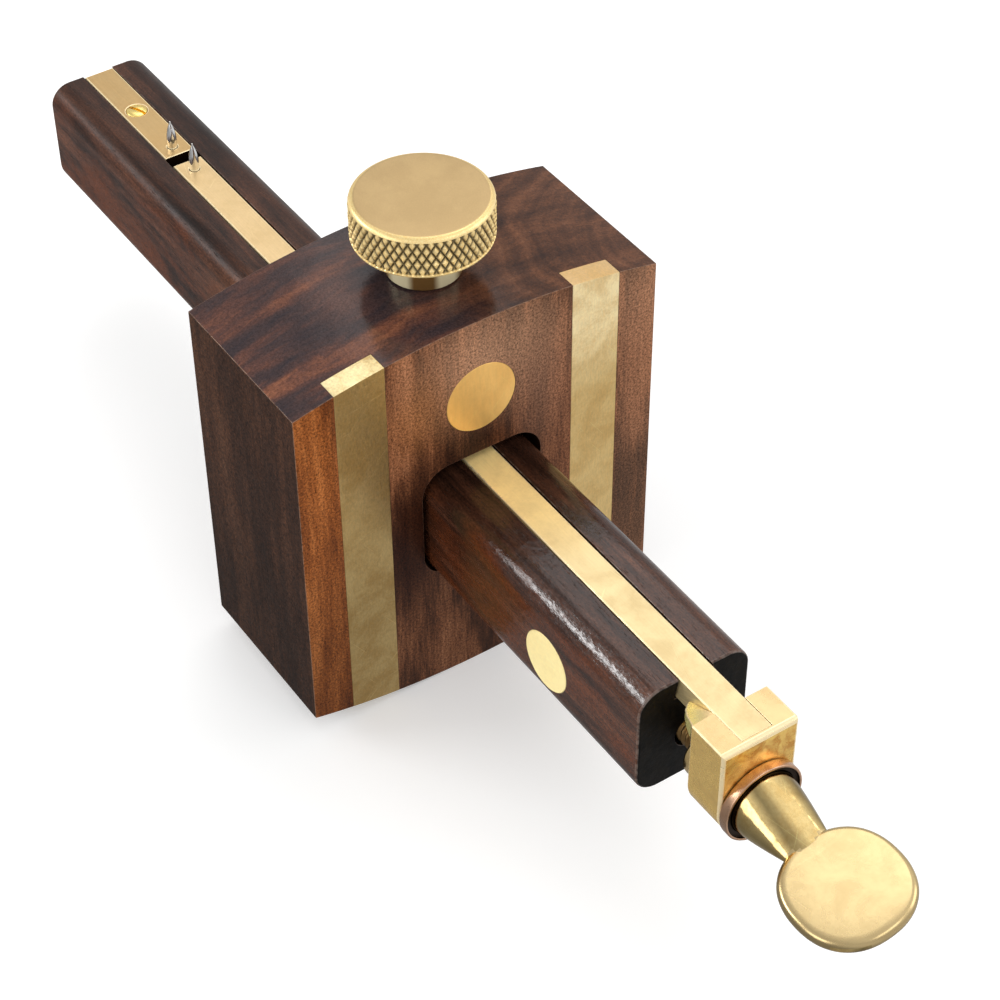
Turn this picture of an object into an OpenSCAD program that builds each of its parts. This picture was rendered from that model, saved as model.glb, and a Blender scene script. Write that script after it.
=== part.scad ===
// Combination mortise marking gauge in rosewood and brass, as separate parts.
// Frame: millimetres, +Z up, +X along the beam towards the thumb screw.
// x = 0 is the fence face of the stock, z = 0 the lowest point of the stock.

/* [Stock] */
// thickness of the stock along the beam
stock_t = 29.4; // [20:0.1:40]
// width of the stock across the beam
stock_w = 62.5; // [45:0.1:80]
// height of the flat sides of the stock
stock_side_h = 61; // [45:0.1:80]
// rise of the arched top above the side corners
top_rise = 3.7; // [0.5:0.1:8]
// drop of the arched bottom below the side corners
bottom_drop = 3.9; // [0.5:0.1:8]
// gap between the beam and each side of the mortise
mortise_side_gap = 1.1; // [0.2:0.05:2]
// gap between the top of the beam and the mortise
mortise_top_gap = 1.4; // [0.3:0.05:3]
// corner radius of the mortise
mortise_r = 4.8; // [1:0.1:8]

/* [Wear strips] */
// distance from the beam centre to the inner edge of a strip
strip_in = 16.1; // [12:0.1:24]
// width of a wear strip
strip_w = 8.4; // [3:0.1:12]
// depth of a wear strip in the stock
strip_t = 3.6; // [1:0.1:6]

/* [Beam] */
// width of the beam
beam_w = 19; // [14:0.1:28]
// height of the beam
beam_h = 20; // [14:0.1:28]
// corner radius of the beam
beam_r = 3.8; // [0.5:0.1:8]
// length of beam on the pin side of the fence face
beam_back = 122.5; // [80:0.5:180]
// length of beam on the thumb screw side of the fence face
beam_front = 52.5; // [30:0.5:90]
// height of the bottom of the beam above the side corners
beam_lift = 18.4; // [10:0.1:30]

/* [Slide and fixed plate] */
// width of the brass slide at the top of the beam
slide_w = 5.2; // [3:0.1:8]
// width of the dovetailed slide at its bottom
slide_foot_w = 6.4; // [3:0.1:10]
// thickness of the slide
slide_t = 3.1; // [1.5:0.1:5]
// gap on each side of the slide in its groove
slide_gap = 0.2; // [0.05:0.01:0.5]
// length of the fixed plate at the pin end
plate_l = 30.1; // [15:0.1:50]
// distance that the fixed plate stops short of the end of the beam
plate_inset = 0.6; // [0:0.1:2]
// gap between the fixed plate and the slide
plate_gap = 2.5; // [0.5:0.1:10]
// distance of each pin from the end of its brass
pin_inset = 2.6; // [1.5:0.1:5]

/* [Pins and plate screw] */
// radius of a marking pin
pin_r = 0.88; // [0.4:0.02:1.5]
// height of a pin above the beam
pin_h = 5.2; // [2:0.1:9]
// length of the conical point of a pin
pin_point = 3.4; // [1:0.1:8]
// length of a pin below the top of the beam
pin_root = 6; // [3:0.1:12]
// distance of the plate screw from the end of the beam
plate_screw_x = 14.7; // [6:0.1:25]
// head radius of the plate screw
plate_screw_r = 1.8; // [1:0.05:3]

/* [Slide block] */
// gap between the end of the beam and the block
block_gap = 7.4; // [4:0.1:20]
// thickness of the block along the beam
block_t = 7.1; // [3:0.1:12]
// width of the block, twice the radius of its round bottom
block_w = 12.9; // [8:0.1:20]
// length of the sloping gusset between the slide and the block
gusset_l = 4.8; // [1:0.1:6]
// fall of the top of the gusset over its length
gusset_fall = 1.7; // [0:0.1:3]
// height of the adjusting screw above the bottom of the beam
screw_rise = 8.2; // [5:0.1:14]

/* [Adjusting screw] */
// radius of the screw shank
shank_r = 2.4; // [1.5:0.05:4]
// position of the inner end of the screw shank
shank_end = 8; // [2:0.5:30]
// radius of the thrust washer
washer_r = 6.6; // [4:0.1:10]
// thickness of the thrust washer
washer_t = 1.6; // [0.5:0.1:4]
// radius of the neck at its widest
neck_r = 5.1; // [3:0.1:9]
// position where the neck meets the paddle
neck_end = 77.8; // [70:0.1:90]
// radius of the round paddle
paddle_r = 9.05; // [5:0.05:14]
// thickness of the paddle
paddle_t = 2.7; // [1.5:0.1:5]
// position of the centre of the paddle
paddle_x = 86.3; // [80:0.1:100]
// turn of the paddle about the screw axis at rest
paddle_roll = 11; // [-90:1:90]
// radius of the retaining collar
collar_r = 4.7; // [3:0.1:7]
// length of the retaining collar
collar_l = 3.4; // [1:0.1:6]
// radius of the pin through the retaining collar
collar_pin_r = 0.7; // [0.3:0.05:1.2]

/* [Adjusting nut] */
// radius of the cross nut in the beam
nut_r = 5; // [3:0.1:7]
// length of the cross nut
nut_l = 15; // [8:0.5:19]
// distance of the cross nut from the end of the beam
nut_inset = 22.1; // [10:0.1:40]

/* [Lock screw] */
// radius of the knurled head
knob_r = 10.65; // [7:0.05:16]
// height of the knurled head
knob_h = 7; // [3:0.05:12]
// width of the shallow bevel around the top of the head
knob_bevel = 1; // [0.2:0.05:2]
// length of the collar under the head
neck_h = 6; // [2:0.1:12]
// radius of the collar under the head
stem_r = 5.8; // [3:0.1:8]
// radius of the lock screw shank
lock_r = 3.2; // [2:0.05:5]
// radius of the nose that turns in the pad
nose_r = 1.8; // [1:0.05:3]
// radius of the pressure pad
pad_r = 4.5; // [3:0.1:6]
// thickness of the pressure pad
pad_t = 2.2; // [1:0.1:4]
// upward travel left for the pad in its pocket
pad_travel = 2.4; // [1:0.1:4]
// radius of the barrel nut that shows in the fence face
lock_nut_r = 6; // [4:0.1:9]
// length of the barrel nut
lock_nut_l = 22; // [18:0.5:28]
// height of the barrel nut above the side corners
lock_nut_rise = 50.3; // [45:0.1:55]

/* [Hidden] */
$fn = 96;
eps = 0.05;
run = 0.05;
ground = bottom_drop;
top_z = ground + stock_side_h + top_rise;
top_arc_r = (pow(stock_w / 2, 2) + pow(top_rise, 2)) / (2 * top_rise);
bottom_arc_r = (pow(stock_w / 2, 2) + pow(bottom_drop, 2)) / (2 * bottom_drop);
stock_mid = -stock_t / 2;
beam_z0 = ground + beam_lift;
beam_top = beam_z0 + beam_h;
beam_l = beam_back + beam_front;
mortise_w = beam_w + 2 * mortise_side_gap;
mortise_z0 = beam_z0 - 0.1;
mortise_z1 = beam_top + mortise_top_gap;
slide_z0 = beam_top - slide_t;
plate_end = -beam_back + plate_l;
slide_end = plate_end + plate_gap;
fixed_pin_x = plate_end - pin_inset;
moving_pin_x = slide_end + pin_inset;
screw_z = beam_z0 + screw_rise;
block_x0 = beam_front + block_gap;
block_x1 = block_x0 + block_t;
nut_x = beam_front - nut_inset;
washer_x = block_x1 + 0.1;
collar_x1 = block_x0 - 0.1;
nut_z = ground + lock_nut_rise;
pad_z = beam_top + 0.05;
pad_top = pad_z + pad_t;
pocket_top = pad_top + pad_travel;
stem_z = top_z + 0.2;
start_of_flat = washer_x + washer_t + 0.7;
head_z = stem_z + neck_h;
rosewood = [0.26, 0.12, 0.09];
ebony = [0.16, 0.10, 0.08];
brass = [0.80, 0.62, 0.30];
steel = [0.72, 0.73, 0.75];

// arched outline of the stock between two positions along the beam
module arched(x0, x1, y0, y1) {
    intersection() {
        translate([x0, y0, 0]) cube([x1 - x0, y1 - y0, top_z]);
        along(x0 - 1, x1 + 1, 0, top_z - top_arc_r, top_arc_r, 240);
        along(x0 - 1, x1 + 1, 0, bottom_arc_r, bottom_arc_r, 240);
    }
}

// round bar along X between two positions
module along(x0, x1, y, z, r, sides = 96) {
    translate([x0, y, z]) rotate([0, 90, 0]) cylinder(r = r, h = x1 - x0, $fn = sides);
}

// bar along X with a round-cornered rectangular section, centred on y = 0
module rounded_bar(x0, x1, w, z0, z1, r) {
    translate([x0, -w / 2 + r, z0]) cube([x1 - x0, w - 2 * r, z1 - z0]);
    translate([x0, -w / 2, z0 + r]) cube([x1 - x0, w, z1 - z0 - 2 * r]);
    for (y = [-w / 2 + r, w / 2 - r], z = [z0 + r, z1 - r])
        along(x0, x1, y, z, r);
}

// dovetail bar along X, flush with the top of the beam
module dovetail(x0, x1, gap, over = 0) {
    slope = (slide_foot_w - slide_w) / 2 / slide_t;
    top_y = slide_w / 2 + gap - slope * over;
    foot_y = slide_foot_w / 2 + gap;
    foot_z = slide_z0 - gap / 2;
    translate([x0, 0, 0]) rotate([90, 0, 90]) linear_extrude(height = x1 - x0)
        polygon([[-foot_y, foot_z], [foot_y, foot_z],
                 [top_y, beam_top + over], [-top_y, beam_top + over]]);
}

// upright marking pin with a conical point
module marking_pin(x) {
    translate([x, 0, beam_top - pin_root]) rotate_extrude()
        polygon([[0, 0], [pin_r, 0], [pin_r, pin_root + pin_h - pin_point],
                 [0.1, pin_root + pin_h], [0, pin_root + pin_h]]);
}

module stock() {
    color(rosewood) difference() {
        arched(-stock_t, 0, -stock_w / 2, stock_w / 2);
        rounded_bar(-stock_t - 1, 1, mortise_w, mortise_z0, mortise_z1, mortise_r);
        for (y = [-strip_in - strip_w, strip_in])
            translate([-strip_t, y, -1]) cube([strip_t + 1, strip_w, top_z + 2]);
        along(-lock_nut_l, 1, 0, nut_z, lock_nut_r + 0.02);
        translate([stock_mid, 0, mortise_z1 - 1])
            cylinder(r = pad_r + 0.3, h = pocket_top - mortise_z1 + 1);
        translate([stock_mid, 0, pocket_top - 1])
            cylinder(r = lock_r + 0.3, h = top_z - pocket_top + 2);
    }
}

module wear_strip_left() {
    color(brass) arched(-strip_t, 0, -strip_in - strip_w, -strip_in);
}

module wear_strip_right() {
    color(brass) arched(-strip_t, 0, strip_in, strip_in + strip_w);
}

// cross barrel with a threaded hole for the lock screw
module lock_nut() {
    color(brass) difference() {
        along(-lock_nut_l + 0.2, 0, 0, nut_z, lock_nut_r);
        translate([stock_mid, 0, nut_z - lock_nut_r - 1])
            cylinder(r = lock_r + run, h = 2 * lock_nut_r + 2);
    }
}

// knurled head, collar, shank and nose turned from one bar
module lock_screw() {
    nose = pad_top - pad_t / 2;
    color(brass) translate([stock_mid, 0, 0]) rotate_extrude()
        polygon([[0, nose], [nose_r, nose], [nose_r, pad_top + eps],
                 [lock_r, pad_top + eps], [lock_r, stem_z], [stem_r, stem_z],
                 [stem_r, head_z], [knob_r - 0.4, head_z],
                 [knob_r, head_z + 0.4],
                 [knob_r, head_z + knob_h - knob_bevel / 2],
                 [knob_r - knob_bevel, head_z + knob_h], [0, head_z + knob_h]]);
}

// brass disc that presses on the beam and saves it from the screw
module lock_pad() {
    color(brass) difference() {
        translate([stock_mid, 0, pad_z]) cylinder(r = pad_r, h = pad_t);
        translate([stock_mid, 0, pad_top - pad_t / 2 - 0.1])
            cylinder(r = nose_r + run, h = pad_t);
    }
}

module beam() {
    color(ebony) difference() {
        rounded_bar(-beam_back, beam_front, beam_w, beam_z0, beam_top, beam_r);
        dovetail(-beam_back - 1, beam_front + 1, slide_gap, 1);
        along(shank_end - 4, beam_front + 1, 0, screw_z, shank_r + 0.5);
        translate([nut_x, -beam_w / 2 - 1, screw_z]) rotate([-90, 0, 0])
            cylinder(r = nut_r + 0.02, h = nut_l + 1);
        translate([-beam_back + plate_screw_x, 0, beam_top - 14])
            cylinder(r = 1.2, h = 14);
        translate([fixed_pin_x, 0, beam_top - pin_root - 0.2])
            cylinder(r = pin_r + 0.02, h = pin_root);
    }
}

// fixed brass plate that carries the outer pin
module fixed_plate() {
    color(brass) difference() {
        dovetail(-beam_back + plate_inset, plate_end, slide_gap - 0.05);
        translate([fixed_pin_x, 0, slide_z0 - 1]) cylinder(r = pin_r, h = slide_t + 2);
        plate_screw_body(0.01);
    }
}

// countersunk head and shank of the plate screw, grown by a gap
module plate_screw_body(gap) {
    head = plate_screw_r - 1.2;
    translate([-beam_back + plate_screw_x, 0, 0]) rotate_extrude()
        polygon([[0, beam_top - 12], [1.2 + gap - 0.02, beam_top - 12],
                 [1.2 + gap - 0.02, beam_top - head - 0.3],
                 [plate_screw_r + gap, beam_top - 0.3],
                 [plate_screw_r + gap, beam_top], [0, beam_top]]);
}

module plate_screw() {
    color(brass) difference() {
        plate_screw_body(0);
        translate([-beam_back + plate_screw_x, 0, beam_top]) rotate([0, 0, 25])
            cube([2 * plate_screw_r + 1, 0.6, 1.2], center = true);
    }
}

module fixed_pin() {
    color(steel) marking_pin(fixed_pin_x);
}

// dovetail slide that carries the inner pin and the block
module slide_bar() {
    color(brass) difference() {
        dovetail(slide_end, block_x1, 0);
        translate([moving_pin_x, 0, slide_z0 - 1]) cylinder(r = pin_r, h = slide_t + 2);
    }
}

module moving_pin() {
    color(steel) translate([moving_pin_x, 0, slide_z0]) rotate_extrude()
        polygon([[0, 0], [pin_r, 0], [pin_r, slide_t + pin_h - pin_point],
                 [0.1, slide_t + pin_h], [0, slide_t + pin_h]]);
}

// block with a round bottom, let over the end of the slide
module slide_block() {
    color(brass) difference() {
        union() {
            along(block_x0, block_x1, 0, screw_z, block_w / 2);
            translate([block_x0, -block_w / 2, screw_z])
                cube([block_t, block_w, beam_top - screw_z]);
            gusset();
        }
        dovetail(slide_end, block_x1 + 1, 0, 1);
        along(block_x0 - 1, block_x1 + 1, 0, screw_z, shank_r + run);
    }
}

// gusset on the left that tapers and slopes down from the block to the slide
module gusset() {
    half = block_w / 2;
    end = block_x0 - gusset_l;
    difference() {
        translate([0, 0, slide_z0]) linear_extrude(height = slide_t)
            polygon([[end, -half + 3.4], [end + 1, -half + 1.9], [block_x0 + 0.5, -half],
                     [block_x0 + 0.5, 0], [end, 0]]);
        translate([block_x0, 0, beam_top]) rotate([0, -atan(gusset_fall / gusset_l), 0])
            translate([-10, -half - 1, 0]) cube([11, 2 * half + 2, 5]);
    }
}

// cross barrel with a threaded hole for the adjusting screw
module adjusting_nut() {
    color(brass) difference() {
        translate([nut_x, -beam_w / 2, screw_z]) rotate([-90, 0, 0])
            cylinder(r = nut_r, h = nut_l - 0.2);
        along(nut_x - nut_r - 1, nut_x + nut_r + 1, 0, screw_z, shank_r + run);
    }
}

// radius of the neck at a position along the screw
function neck_at(x) = neck_r * sqrt(1 - pow((x - 70.5) / 11.2, 2));

// screw shank and neck as one turned body with a round paddle
module adjusting_screw() {
    start = washer_x + washer_t - 0.9 + 0.1;
    color(brass) translate([0, 0, screw_z]) rotate([paddle_roll, 0, 0]) difference() {
        union() {
            difference() {
                rotate([90, 0, 90]) rotate_extrude() neck_outline(start);
                for (s = [-1, 1]) neck_flat(s);
            }
            translate([paddle_x, 0, 0]) rotate_extrude() paddle_outline();
        }
        rotate([-paddle_roll, 0, 0])
            translate([collar_x1 - collar_l / 2, 0, 0]) rotate([-90, 0, 0])
                cylinder(r = collar_pin_r, h = 40, center = true);
    }
}

// wedge that flattens one side of the neck down to the thickness of the paddle
module neck_flat(side) {
    translate([start_of_flat, 0, side * 4.8])
        rotate([0, side * atan((4.8 - paddle_t / 2 - 0.2) / (neck_end - start_of_flat)), 0])
            translate([0, -10, side > 0 ? 0 : -8]) cube([14, 20, 8]);
}

// half outline of the shank and the neck
module neck_outline(start) {
    points = [for (i = [0 : 8]) let (x = start + 0.9 + i * (neck_end - start - 0.9) / 8)
              [neck_at(x), x]];
    polygon(concat([[0, shank_end], [shank_r, shank_end], [shank_r, start],
                    [neck_r - 0.6, start], [neck_r - 0.25, start + 0.3]],
                   points, [[0, neck_end]]));
}

// half section of the paddle with a rounded rim
module paddle_outline() {
    r = paddle_t / 3;
    square_r = paddle_r - r;
    translate([0, -paddle_t / 2]) square([square_r, paddle_t]);
    translate([0, -paddle_t / 2 + r]) square([paddle_r, paddle_t - 2 * r]);
    for (z = [-1, 1]) translate([square_r, z * (paddle_t / 2 - r)]) circle(r = r, $fn = 48);
}

// thin ring with a raised rim between the block and the neck
module thrust_washer() {
    color(brass) difference() {
        along(washer_x, washer_x + washer_t, 0, screw_z, washer_r);
        along(washer_x + washer_t - 0.9, washer_x + washer_t + 1, 0, screw_z, washer_r - 0.6);
        along(washer_x - 1, washer_x + washer_t + 1, 0, screw_z, shank_r);
    }
}

// ring pinned to the shank behind the block
module retaining_collar() {
    color(brass) difference() {
        along(collar_x1 - collar_l, collar_x1, 0, screw_z, collar_r);
        along(collar_x1 - collar_l - 1, collar_x1 + 1, 0, screw_z, shank_r);
        collar_pin_bar(20);
    }
}

module collar_pin_bar(l) {
    translate([collar_x1 - collar_l / 2, 0, screw_z]) rotate([90, 0, 0])
        cylinder(r = collar_pin_r, h = l, center = true);
}

module collar_pin() {
    color(steel) collar_pin_bar(2 * collar_r - 0.4);
}

stock();
wear_strip_left();
wear_strip_right();
lock_nut();
lock_screw();
lock_pad();
beam();
fixed_plate();
plate_screw();
fixed_pin();
slide_bar();
slide_block();
moving_pin();
adjusting_nut();
adjusting_screw();
thrust_washer();
retaining_collar();
collar_pin();
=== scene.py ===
"""Mortise marking gauge in rosewood and brass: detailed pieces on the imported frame."""
import math
from collections import namedtuple

import bmesh
import bpy
import numpy as np
from mathutils import Matrix, Quaternion, Vector


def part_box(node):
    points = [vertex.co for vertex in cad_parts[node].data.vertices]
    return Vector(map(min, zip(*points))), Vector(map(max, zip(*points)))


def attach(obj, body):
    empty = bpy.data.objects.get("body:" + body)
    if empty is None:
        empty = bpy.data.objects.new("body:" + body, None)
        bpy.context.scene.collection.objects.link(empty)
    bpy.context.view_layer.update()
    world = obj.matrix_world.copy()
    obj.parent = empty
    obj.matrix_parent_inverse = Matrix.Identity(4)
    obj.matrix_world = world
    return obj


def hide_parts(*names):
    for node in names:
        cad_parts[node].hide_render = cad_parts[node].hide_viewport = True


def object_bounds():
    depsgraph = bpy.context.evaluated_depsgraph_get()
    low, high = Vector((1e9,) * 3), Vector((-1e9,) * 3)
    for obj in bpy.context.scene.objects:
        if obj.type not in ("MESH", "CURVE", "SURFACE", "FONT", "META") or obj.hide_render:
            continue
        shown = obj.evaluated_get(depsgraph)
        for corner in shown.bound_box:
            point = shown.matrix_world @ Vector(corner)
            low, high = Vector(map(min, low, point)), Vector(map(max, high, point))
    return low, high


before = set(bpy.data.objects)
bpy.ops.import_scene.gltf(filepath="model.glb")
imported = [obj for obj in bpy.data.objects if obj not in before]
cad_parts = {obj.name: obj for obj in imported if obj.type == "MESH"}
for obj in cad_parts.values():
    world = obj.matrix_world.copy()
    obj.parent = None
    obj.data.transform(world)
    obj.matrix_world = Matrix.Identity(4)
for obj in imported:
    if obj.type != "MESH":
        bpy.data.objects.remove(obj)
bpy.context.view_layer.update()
MM = 0.001
Point = namedtuple("Point", "x y z")


def box(node):
    """Lowest and highest corner of a CAD node, in millimetres."""
    return [Point(*(c / MM for c in corner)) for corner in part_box(node)]


# ---- sizes
STOCK_LO, STOCK_HI = box("stock")
BEAM_LO, BEAM_HI = box("beam")
PLATE_LO, PLATE_HI = box("fixed_plate")
SLIDE_LO, SLIDE_HI = box("slide_bar")
BLOCK_LO, BLOCK_HI = box("slide_block")
CROSS_NUT_LO, CROSS_NUT_HI = box("adjusting_nut")
WASHER_LO, WASHER_HI = box("thrust_washer")
COLLAR_LO, COLLAR_HI = box("retaining_collar")
THUMB_LO, THUMB_HI = box("adjusting_screw")
LOCK_LO, LOCK_HI = box("lock_screw")
LOCK_NUT_LO, LOCK_NUT_HI = box("lock_nut")
FIXED_PIN_LO, FIXED_PIN_HI = box("fixed_pin")
MOVING_PIN_LO, MOVING_PIN_HI = box("moving_pin")
PLATE_SCREW_LO, PLATE_SCREW_HI = box("plate_screw")
STRIP_LO, STRIP_HI = box("wear_strip_right")

SIDE_LO, SIDE_HI = 3.9, STOCK_HI.z - 3.7  # heights of the stock's side corners
SCREW_Z = (WASHER_LO.z + WASHER_HI.z) / 2  # axis of the adjusting screw
LOCK_X = (LOCK_LO.x + LOCK_HI.x) / 2  # axis of the lock screw
FIXED_X = (FIXED_PIN_LO.x + FIXED_PIN_HI.x) / 2  # the two marking pins
MOVING_X = (MOVING_PIN_LO.x + MOVING_PIN_HI.x) / 2
PLATE_SCREW_X = (PLATE_SCREW_LO.x + PLATE_SCREW_HI.x) / 2
BEAM_TOP = BEAM_HI.z
PAST = 2.0  # how far cutting tools reach past what they cut


# ---- mesh helpers
def add(name, data):
    ob = bpy.data.objects.new(name, data)
    bpy.context.scene.collection.objects.link(ob)
    return ob


def smooth(me, sharp):
    for p in me.polygons:
        p.use_smooth = True
    me.set_sharp_from_angle(angle=math.radians(sharp))


def make(name, verts, faces, sharp=30.0):
    """Mesh object from points in millimetres, smooth but for edges over the sharp angle."""
    me = bpy.data.meshes.new(name)
    me.from_pydata([[c * MM for c in v] for v in verts], [], faces)
    me.validate()
    smooth(me, sharp)
    return add(name, me)


def bake(ob, sharp=None):
    """Applies an object's modifiers."""
    dg = bpy.context.evaluated_depsgraph_get()
    me = bpy.data.meshes.new_from_object(ob.evaluated_get(dg), depsgraph=dg)
    ob.modifiers.clear()
    old = ob.data
    ob.data = me
    bpy.data.meshes.remove(old)
    if sharp:
        smooth(me, sharp)
    return ob


def combine(ob, how, tools):
    """Boolean of an object with some others, which are used up."""
    for t in tools:
        m = ob.modifiers.new("cut", "BOOLEAN")
        m.operation = how
        m.solver = "EXACT"
        m.object = t
    bake(ob, 30)
    for t in tools:
        me = t.data
        bpy.data.objects.remove(t)
        bpy.data.meshes.remove(me)
    return ob


def cut(ob, *tools):
    return combine(ob, "DIFFERENCE", tools)


def bevel(ob, width, weight=None, segments=3, material=-1, clamp=True):
    """Rounds the sharp edges; weight(mid point, mm) gives each edge its share of the width."""
    me = ob.data
    bm = bmesh.new()
    bm.from_mesh(me)
    bmesh.ops.remove_doubles(bm, verts=bm.verts, dist=1e-7)
    bmesh.ops.dissolve_limit(bm, angle_limit=math.radians(0.5), verts=bm.verts, edges=bm.edges)
    layer = bm.edges.layers.float.new("bevel_weight_edge")
    for e in bm.edges:
        if len(e.link_faces) == 2 and e.calc_face_angle(0) > math.radians(35):
            mid = (e.verts[0].co + e.verts[1].co) / 2 / MM
            e[layer] = weight(mid) if weight else 1.0
    bm.to_mesh(me)
    bm.free()
    while len(me.materials) <= material:
        me.materials.append(None)
    m = ob.modifiers.new("bevel", "BEVEL")
    m.limit_method = "WEIGHT"
    m.width = width * MM
    m.segments = segments
    m.material = material
    m.miter_outer = "MITER_ARC"
    m.use_clamp_overlap = clamp
    bake(ob, 36)
    w = ob.modifiers.new("normals", "WEIGHTED_NORMAL")
    w.keep_sharp = True
    w.weight = 80
    return bake(ob)


def arc(cx, cy, r, a0, a1, n):
    """Points on an arc, angles in degrees."""
    return [(cx + r * math.cos(math.radians(a0 + (a1 - a0) * i / n)),
             cy + r * math.sin(math.radians(a0 + (a1 - a0) * i / n))) for i in range(n + 1)]


def between(lo, hi):
    """Faces between two rings of vertex numbers; a ring of one is a pole."""
    faces = []
    n = max(len(lo), len(hi))
    for i in range(n):
        j = (i + 1) % n
        if len(lo) == 1:
            faces.append([lo[0], hi[j], hi[i]])
        elif len(hi) == 1:
            faces.append([lo[i], lo[j], hi[0]])
        else:
            faces.append([lo[i], lo[j], hi[j], hi[i]])
    return faces


def rounded(wide, z0, z1, r, n=10):
    """Counter-clockwise (y, z) outline of a rectangle with rounded corners."""
    y, low, high = wide / 2 - r, z0 + r, z1 - r
    return (arc(y, low, r, -90, 0, n) + arc(y, high, r, 0, 90, n)
            + arc(-y, high, r, 90, 180, n) + arc(-y, low, r, 180, 270, n))


def prism(name, outline, low, high, axis="X", sharp=30.0):
    """Solid between two planes from a counter-clockwise outline: (y, z) for X, (x, y) for Z."""
    n = len(outline)
    verts = [(h, a, b) if axis == "X" else (a, b, h) for h in (low, high) for a, b in outline]
    low, high = list(range(n)), list(range(n, 2 * n))
    return make(name, verts, [low[::-1], high] + between(low, high), sharp)


AXES = {"X": Matrix(((0, 0, 1), (1, 0, 0), (0, 1, 0))), "Y": Matrix(((0, 1, 0), (0, 0, 1), (1, 0, 0))),
        "Z": Matrix.Identity(3)}


def lathe(name, profile, axis="Z", at=(0, 0, 0), n=96, closed=False, sharp=30.0):
    """Turned solid from (radius, height) points going up the outside; closed makes a ring."""
    verts, rows = [], []
    turn = AXES[axis]
    for r, h in profile:
        count = n if r or closed else 1
        rows.append(range(len(verts), len(verts) + count))
        for i in range(count):
            a = 2 * math.pi * i / n
            verts.append(turn @ Vector((r * math.cos(a), r * math.sin(a), h)) + Vector(at))
    faces = []
    for lo, hi in zip(rows, rows[1:] + rows[:1] if closed else rows[1:]):
        faces += between(lo, hi)
    return make(name, verts, faces, sharp)


def rod(r, low, high, axis, at, n=96):
    """Plain cylinder, to bore with."""
    return lathe("rod", [(0, low), (r, low), (r, high), (0, high)], axis, at, n)


def fillet(points, radii, n=3):
    """Rounds the corners of an open profile; radii holds one number for each point."""
    out = []
    for k, (p, r) in enumerate(zip(points, radii)):
        if not r or k in (0, len(points) - 1):
            out.append(p)
            continue
        p, a, b = Vector(p), Vector(points[k - 1]), Vector(points[k + 1])
        u, v = (a - p).normalized(), (b - p).normalized()
        half = u.angle(v) / 2
        reach = min(r / math.tan(half), 0.49 * (a - p).length, 0.49 * (b - p).length)
        s, e = p + u * reach, p + v * reach
        for i in range(n + 1):
            t = i / n
            q = s * (1 - t) ** 2 + p * 2 * t * (1 - t) + e * t * t
            out.append((q.x, q.y))
    return out


def helix(name, r, depth, pitch, low, high, axis="Z", at=(0, 0, 0), n=32, per=8):
    """Screw thread with plain tapering ends, as a closed solid."""
    steps = int(round((high - low) / pitch * per))
    rows = []
    for k in range(steps + 1):
        h = low + (high - low) * k / steps
        fade = min(1.0, (h - low) / (0.8 * pitch), (high - h) / (0.8 * pitch))
        a = 2 * np.pi * np.arange(n) / n
        f = (h / pitch - a / (2 * np.pi)) % 1.0
        tri = np.clip(np.abs(2 * f - 1) * 1.25 - 0.12, 0, 1)
        rad = r - depth + depth * (1 - tri) * max(fade, 0.0)
        rows.append(np.c_[rad * np.cos(a), rad * np.sin(a), np.full(n, h)])
    verts = [AXES[axis] @ Vector(p) + Vector(at) for p in np.vstack(rows).tolist()]
    rings = [range(k * n, k * n + n) for k in range(steps + 1)]
    faces = [list(rings[0])[::-1], list(rings[-1])]
    for lo, hi in zip(rings, rings[1:]):
        faces += between(lo, hi)
    return make(name, verts, faces, 50)


def paint(ob, slot, test):
    """Gives a material slot to the faces whose centre and normal pass a test (mm)."""
    for f in ob.data.polygons:
        if test(f.center / MM, f.normal):
            f.material_index = slot


def done(ob, body, slot, mats, *nodes):
    """Dresses a finished piece and hands it to the frame."""
    held = ob.data.materials
    for k, m in enumerate(mats):
        if k < len(held):
            held[k] = m
        else:
            held.append(m)
    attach(ob, body)
    if nodes:
        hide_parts(*nodes)
    return ob


# ---- material helpers
class Nodes:
    """Adds nodes to a cleared node tree."""

    def __init__(self, tree):
        self.tree = tree
        tree.nodes.clear()

    def node(self, kind, inputs, out=0, **settings):
        """New node with its settings and its inputs (sockets or constants); gives an output."""
        n = self.tree.nodes.new("ShaderNode" + kind)
        for key, value in settings.items():
            setattr(n, key, value)
        for key, value in inputs.items():
            if isinstance(value, bpy.types.NodeSocket):
                self.tree.links.new(value, n.inputs[key])
            else:
                n.inputs[key].default_value = value
        return n.outputs[out] if n.outputs else None

    def ramp(self, x, stops):
        """Colours between (place, colour) stops; a single number is a grey."""
        n = self.tree.nodes.new("ShaderNodeValToRGB")
        elements = n.color_ramp.elements
        while len(elements) < len(stops):
            elements.new(0.5)
        for element, (at, colour) in zip(elements, stops):
            element.position = at
            element.color = (*(colour if isinstance(colour, tuple) else [colour] * 3), 1)
        self.tree.links.new(x, n.inputs[0])
        return n.outputs[0]


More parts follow.
